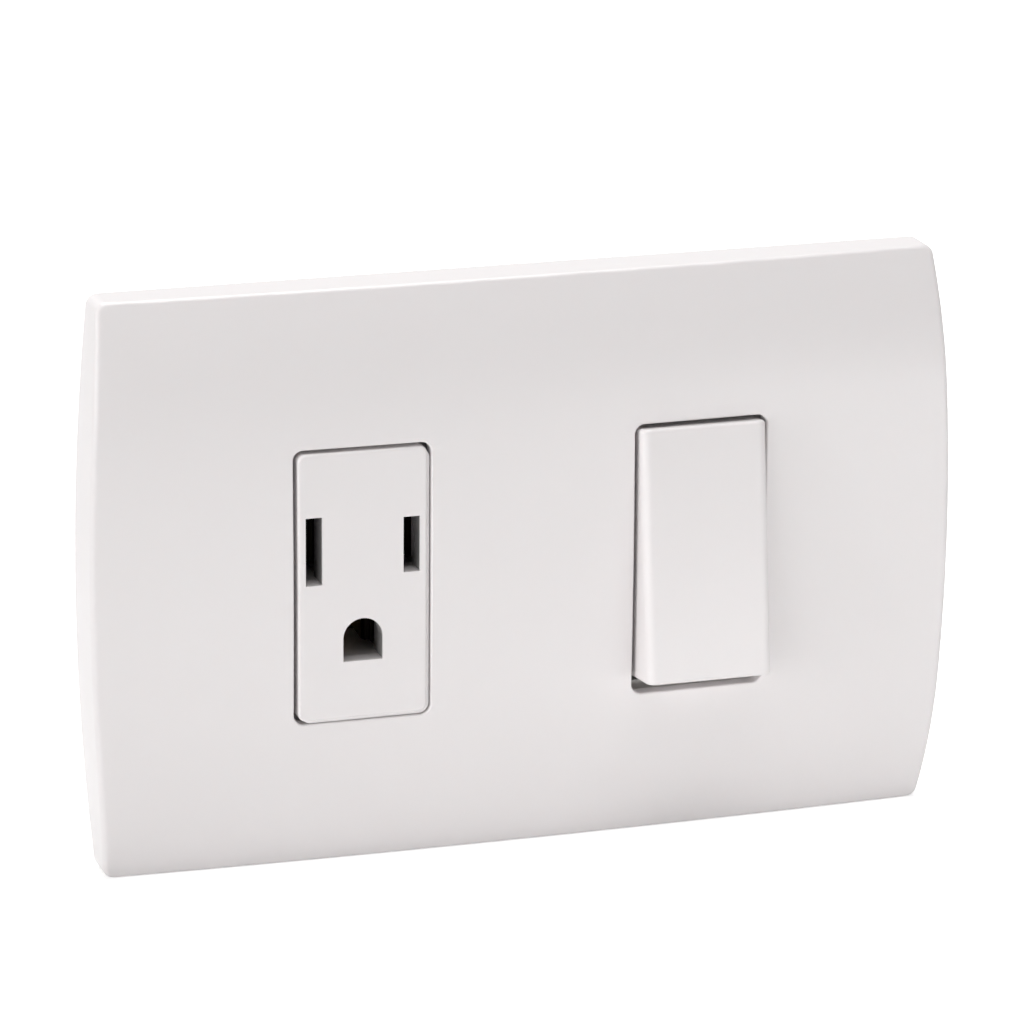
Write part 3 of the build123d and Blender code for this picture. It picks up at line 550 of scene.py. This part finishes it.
def finish_piece(bm, name, body, slot, sharp_degrees=32.0):
    """Turn a bmesh into a named piece with its finish, riding on its body."""
    # Joining up a CAD mesh leaves its stored normals wrong, so new ones come from its own edges.
    bmesh.ops.recalc_face_normals(bm, faces=bm.faces)
    mesh = bpy.data.meshes.new(name)
    bm.to_mesh(mesh)
    bm.free()
    stored_normals = mesh.attributes.get("custom_normal")
    if stored_normals:
        mesh.attributes.remove(stored_normals)
    mesh.shade_smooth()
    mesh.set_sharp_from_angle(angle=math.radians(sharp_degrees))
    mesh.materials.append(FINISHES[slot])
    piece = bpy.data.objects.new(name, mesh)
    bpy.context.scene.collection.objects.link(piece)
    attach(piece, body)
    return piece


def copied(node):
    """The mesh of a CAD node, joined up, as the start of the piece that stands for it."""
    bm = bmesh.new()
    bm.from_mesh(frame["nodes"][node].data)
    bmesh.ops.remove_doubles(bm, verts=bm.verts, dist=0.0005 * MM)
    bm.verts.index_update()
    return bm


def cut_thread(bm, centre, start, end, head, radius, core, pitch, steps):
    """Draw a plain shank in to its core, and wind a ridge round it along Y from start to end."""
    # The shank is cut where the thread starts and half a pitch on, so that it narrows in a short
    # cone; head is -1 where the screw's head is at the low end of Y and 1 where it is at the high.
    axis_point = Vector((centre.x, 0.0, centre.z))
    neck = start if head < 0 else end
    for depth in (neck, neck - head * 0.5 * pitch):
        bmesh.ops.bisect_plane(
            bm,
            geom=bm.verts[:] + bm.edges[:] + bm.faces[:],
            dist=0.001 * MM,
            plane_co=(0.0, depth, 0.0),
            plane_no=(0.0, 1.0, 0.0),
        )
    share = core / radius
    bmesh.ops.scale(
        bm,
        vec=(share, 1.0, share),
        space=Matrix.Translation(-axis_point),
        verts=[v for v in bm.verts if (depth - v.co.y) * head >= -0.01 * MM],
    )
    # A 60 degree ridge, as radius and place along the axis, with its foot sunk into the core
    sunk = core - 0.04 * MM
    foot, crest = 0.42 * pitch, 0.07 * pitch
    section = [(sunk, -foot), (radius, -crest), (radius, crest), (sunk, foot)]
    first = start + 0.5 * pitch
    shank = set(bm.verts)
    face = bm.faces.new([bm.verts.new((centre.x + r, first + y, centre.z)) for r, y in section])
    total = int((end - start - pitch) / pitch * steps)
    bmesh.ops.spin(
        bm,
        geom=[face],
        cent=axis_point,
        axis=(0.0, 1.0, 0.0),
        dvec=(0.0, pitch / steps, 0.0),
        angle=2 * math.pi * total / steps,
        steps=total,
        use_merge=False,
    )
    # The ridge runs out into the core over half a turn at each end
    last = first + total * pitch / steps
    for v in (v for v in bm.verts if v not in shank):
        fade = min(1.0, (v.co.y - first) / pitch + 0.5, (last - v.co.y) / pitch + 0.5)
        out = Vector((v.co.x - centre.x, 0.0, v.co.z - centre.z))
        drawn = out.normalized() * (sunk + (out.length - sunk) * max(0.0, fade))
        v.co = Vector((centre.x + drawn.x, v.co.y, centre.z + drawn.z))


def threaded_screw(node, head, plain, radius, core_share, pitch, steps):
    """A screw that stands for a CAD node, with the thread that the plain shank leaves out."""
    # plain is the length from the top of the head to the start of the thread.
    low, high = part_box(node)
    centre = (low + high) / 2
    bm = copied(node)
    start, end = (low.y + plain, high.y) if head < 0 else (low.y, high.y - plain)
    cut_thread(bm, centre, start, end, head, radius, radius * core_share, pitch, steps)
    piece = finish_piece(bm, f"{node}_threaded", "root", "zinc_steel")
    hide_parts(node)
    return piece


class PLATE_OT_plastics(bpy.types.Operator):
    """Give the cover, the modules and the frame their moulded plastics"""

    bl_idname = "wall_plate.plastics"
    bl_label = "Moulded Plastics"

    def execute(self, context):
        colours = context.scene.plate_colours
        dress_slot("white_face", satin_abs("satin_white_abs", colours.white_face))
        # The socket's face gets painted shade on the walls of its slots
        abs_with_painted_slot_shade = satin_abs("satin_white_abs_painted_slot_shade", colours.white_face, colours.painted_slot_shade)
        dress(abs_with_painted_slot_shade, ["socket_front_shell"])
        dress_slot("white_body", matt_polycarbonate(colours.white_body))
        dress_slot("grey_frame", filled_polyamide("grey_glass_filled_polyamide", colours.grey_frame, 0.006))
        dress_slot("grey_body", filled_polyamide("pale_glass_filled_polyamide", colours.grey_body, 0.004))
        dress_slot("nylon", natural_nylon(colours.nylon))
        return {"FINISHED"}


class PLATE_OT_metals(bpy.types.Operator):
    """Give the contacts, screws, plates and spring their metals"""

    bl_idname = "wall_plate.metals"
    bl_label = "Metals"

    def execute(self, context):
        colours = context.scene.plate_colours
        dress_slot("brass", rolled_brass(colours.brass))
        # Silver alloy rivets, struck in a die, with a faint yellow bloom from the air.
        silver = clouded_metal("struck_silver_alloy", colours.silver, 0.9, 0.4, 0.002, 0.20, 0.16)
        dress_slot("contact_silver", silver)
        # Electroplated zinc with a clear passivation is a cool, slightly cloudy silver. Its
        # crystals are far too fine to see, so it is drawn as clouds of 1.2 mm.
        zinc = clouded_metal("zinc_plated_steel", colours.zinc, 1.2, 0.3, 0.003, 0.24, 0.14)
        dress_slot("zinc_steel", zinc)
        pressed = clouded_metal("pressed_plated_steel", colours.clamp, 1.6, 0.3, 0.005, 0.34, 0.16)
        dress_slot("clamp_steel", pressed)
        # Hard-drawn wire comes dark and smooth out of the die, with faint patches of drawing soap.
        spring = clouded_metal("hard_drawn_spring_wire", colours.spring, 0.6, 0.4, 0.001, 0.24, 0.25)
        dress_slot("spring_steel", spring)
        return {"FINISHED"}


class PLATE_OT_screws(bpy.types.Operator):
    """Cut real threads on every screw"""

    bl_idname = "wall_plate.screws"
    bl_label = "Screw Threads"

    def execute(self, context):
        sizes = context.scene.plate_threads
        machine = (sizes.machine_core, sizes.machine_pitch, sizes.steps)
        forming = (sizes.forming_core, sizes.forming_pitch, sizes.steps)
        # Side of the head, length left plain from the head's top, radius, and kind of thread
        box_screw = (-1, 4.5 * MM, 1.75 * MM, *machine)
        terminal_screw = (1, 3.2 * MM, 1.7 * MM, *machine)
        case_screw = (1, 6.0 * MM, 1.25 * MM, *forming)
        for node in NODES_OF_SLOT["zinc_steel"]:
            if node.startswith("box_screw"):
                threaded_screw(node, *box_screw)
            elif node.endswith("terminal_screw"):
                threaded_screw(node, *terminal_screw)
            else:
                threaded_screw(node, *case_screw)
        return {"FINISHED"}


class PLATE_OT_cover(bpy.types.Operator):
    """Smooth the cover's shading, so its flat face runs evenly up to its rounded edges"""

    bl_idname = "wall_plate.cover"
    bl_label = "Cover Plate"

    def execute(self, context):
        # Small facets of the rounded edges pull the normals where they meet the large face, which
        # would show as streaks; weighted by area, the large face wins. The walls keep theirs.
        least_turn_to_room = 0.6
        bm = copied("cover_plate")
        bm.normal_update()
        towards_room = [v.index for v in bm.verts if -v.normal.y > least_turn_to_room]
        piece = finish_piece(bm, "cover_plate_moulding", "root", "white_face")
        piece.vertex_groups.new(name="towards_room").add(towards_room, 1.0, "REPLACE")
        fair = piece.modifiers.new("fair_normals", "WEIGHTED_NORMAL")
        fair.mode = "FACE_AREA_WITH_ANGLE"
        fair.keep_sharp = True
        fair.vertex_group = "towards_room"
        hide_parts("cover_plate")
        return {"FINISHED"}


class PLATE_OT_spring(bpy.types.Operator):
    """Wind the plunger's spring, which shortens as the plunger goes into the rocker"""
    # Stand a copy of the plunger's spring in for the CAD node, riding on the rocker

    bl_idname = "wall_plate.spring"
    bl_label = "Plunger Spring"

    def execute(self, context):
        piece = finish_piece(copied("plunger_spring"), "plunger_spring_wound", "rocker_body", "spring_steel")
        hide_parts("plunger_spring")
        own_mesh(piece)
        return {"FINISHED"}


class PLATE_OT_studio(bpy.types.Operator):
    """Lay the floor, hang the lamps and set the camera"""

    bl_idname = "wall_plate.studio"
    bl_label = "Studio"

    def execute(self, context):
        settings = context.scene.plate_studio
        self.floor()
        self.world(settings)
        self.lamps()
        self.camera(settings)
        context.scene.view_settings.view_transform = "Standard"
        return {"FINISHED"}

    def floor(self):
        bm = bmesh.new()
        bmesh.ops.create_circle(bm, cap_ends=True, segments=96, radius=FLOOR_RADIUS)
        bmesh.ops.translate(bm, vec=(0.0, 0.0, FLOOR_HEIGHT), verts=bm.verts)
        mesh = bpy.data.meshes.new("studio_floor")
        bm.to_mesh(mesh)
        bm.free()
        material, tree, place = new_material("painted_studio_floor")
        # Matt paint with soft roller clouds. Seen or mirrored it is lifted to white, and keeps shadows.
        cloud = add_node(tree, "ShaderNodeTexNoise", {"Vector": place, "Scale": per_metre(180.0)})
        tint = add_node(
            tree,
            "ShaderNodeMix",
            {0: cloud, 6: linear("#EDEDED"), 7: linear("#E9E9E9")},
            data_type="RGBA",
        )
        paint = add_node(tree, "ShaderNodeBsdfDiffuse", {"Color": tint.outputs[2]})
        # The lift grows away from the part, where less light from the lamps arrives
        reach = add_node(tree, "ShaderNodeVectorMath", {0: place}, operation="LENGTH").outputs["Value"]
        strength = add_node(
            tree,
            "ShaderNodeMapRange",
            {"Value": reach, "From Min": 0.3, "From Max": 0.9, "To Min": 0.6, "To Max": 1.0},
        )
        lift = add_node(tree, "ShaderNodeEmission", {"Color": WHITE, "Strength": strength})
        both = add_node(tree, "ShaderNodeAddShader", {0: paint, 1: lift})
        mixed = add_node(tree, "ShaderNodeMixShader", {0: self.seen(tree), 1: paint, 2: both})
        add_node(tree, "ShaderNodeOutputMaterial", {"Surface": mixed})
        mesh.materials.append(material)
        floor = bpy.data.objects.new("studio_floor", mesh)
        bpy.context.scene.collection.objects.link(floor)

    def seen(self, tree):
        """A factor of 1 for what the camera, a reflection or a clear material shows."""
        path = add_node(tree, "ShaderNodeLightPath")
        rays = [path.outputs[f"Is {kind} Ray"] for kind in ("Camera", "Glossy", "Transmission")]
        either = add_node(tree, "ShaderNodeMath", {0: rays[0], 1: rays[1]}, operation="MAXIMUM")
        return add_node(tree, "ShaderNodeMath", {0: either, 1: rays[2]}, operation="MAXIMUM")

    def world(self, settings):
        world = bpy.data.worlds.new("studio_world")
        world.use_nodes = True
        tree = world.node_tree
        tree.nodes.clear()
        ambient = add_node(tree, "ShaderNodeBackground", {"Color": WHITE, "Strength": settings.ambient})
        shown = add_node(tree, "ShaderNodeBackground", {"Color": WHITE, "Strength": 1.0})
        mixed = add_node(tree, "ShaderNodeMixShader", {0: self.seen(tree), 1: ambient, 2: shown})
        add_node(tree, "ShaderNodeOutputWorld", {"Surface": mixed})
        bpy.context.scene.world = world

    def lamps(self):
        # Name, place, width and height in metres, and power; each faces the part. The low strips
        # give the light that a pale table throws up on to the face.
        rows = (
            ("lamp_above", (0.05, 0.12, 0.95), (0.60, 0.60), 7.5),
            ("lamp_steep", (0.0, -0.28, 0.95), (0.60, 0.60), 2.6),
            ("strip_left", (-0.88, -0.17, 0.10), (0.20, 0.40), 3.1),
            ("lamp_left_front", (-0.75, -0.55, 0.10), (0.45, 0.45), 1.9),
            ("strip_low", (0.0, -0.14, -0.028), (0.30, 0.015), 0.028),
            ("strip_low_right", (0.18, -0.20, -0.026), (0.20, 0.02), 0.085),
            ("strip_on_floor", (0.02, -0.07, -0.034), (0.30, 0.005), 0.008),
        )
        for name, place, (width, height), watts in rows:
            data = bpy.data.lights.new(name, "AREA")
            data.shape = "RECTANGLE"
            data.size = width
            data.size_y = height
            data.energy = watts
            lamp = bpy.data.objects.new(name, data)
            lamp.location = place
            lamp.rotation_mode = "QUATERNION"
            lamp.rotation_quaternion = (-Vector(place)).to_track_quat("-Z", "Y")
            lamp.visible_camera = False
            bpy.context.scene.collection.objects.link(lamp)

    def camera(self, settings):
        yaw, pitch, roll = settings.yaw, settings.pitch, settings.roll
        forward = Vector(
            (
                math.sin(yaw) * math.cos(pitch),
                math.cos(yaw) * math.cos(pitch),
                -math.sin(pitch),
            )
        )
        level = Vector((math.cos(yaw), -math.sin(yaw), 0.0))
        upright = level.cross(forward)
        right = math.cos(roll) * level + math.sin(roll) * upright
        up = -math.sin(roll) * level + math.cos(roll) * upright
        # Where the origin stands off the camera's line of sight, in millimetres
        aside, above = -0.240 * MM, -4.680 * MM
        place = -aside * right - above * up - settings.distance * forward
        turn = Matrix((right, up, -forward)).transposed().to_4x4()
        data = bpy.data.cameras.new("studio_camera")
        data.lens = settings.lens
        data.sensor_width = 36.0
        camera = bpy.data.objects.new("studio_camera", data)
        camera.matrix_world = Matrix.Translation(place) @ turn
        bpy.context.scene.collection.objects.link(camera)
        bpy.context.scene.camera = camera


class PLATE_PT_panel(bpy.types.Panel):
    """Sizes, colours and steps of the wall plate"""

    bl_label = "Wall Plate"
    bl_idname = "PLATE_PT_panel"
    bl_space_type = "VIEW_3D"
    bl_region_type = "UI"
    bl_category = "Wall Plate"

    def draw(self, context):
        scene = context.scene
        for group in (scene.plate_colours, scene.plate_threads, scene.plate_studio):
            box = self.layout.box()
            for name in group.__annotations__:
                box.prop(group, name)
        for operator in OPERATORS:
            self.layout.operator(operator.bl_idname)


OPERATORS = (
    PLATE_OT_plastics,
    PLATE_OT_metals,
    PLATE_OT_cover,
    PLATE_OT_screws,
    PLATE_OT_spring,
    PLATE_OT_studio,
)
GROUPS = {
    "plate_colours": PlateColours,
    "plate_threads": ThreadSizes,
    "plate_studio": StudioSettings,
}


def register():
    for cls in (*GROUPS.values(), *OPERATORS, PLATE_PT_panel):
        bpy.utils.register_class(cls)
    for name, cls in GROUPS.items():
        setattr(bpy.types.Scene, name, PointerProperty(type=cls))


def unregister():
    for name in GROUPS:
        delattr(bpy.types.Scene, name)
    for cls in (PLATE_PT_panel, *reversed(OPERATORS), *reversed(GROUPS.values())):
        bpy.utils.unregister_class(cls)


def main():
    """Make every piece in order."""
    register()
    bpy.ops.wall_plate.plastics()
    bpy.ops.wall_plate.metals()
    bpy.ops.wall_plate.cover()
    bpy.ops.wall_plate.screws()
    bpy.ops.wall_plate.spring()
    bpy.ops.wall_plate.studio()


if __name__ == "__main__":
    main()
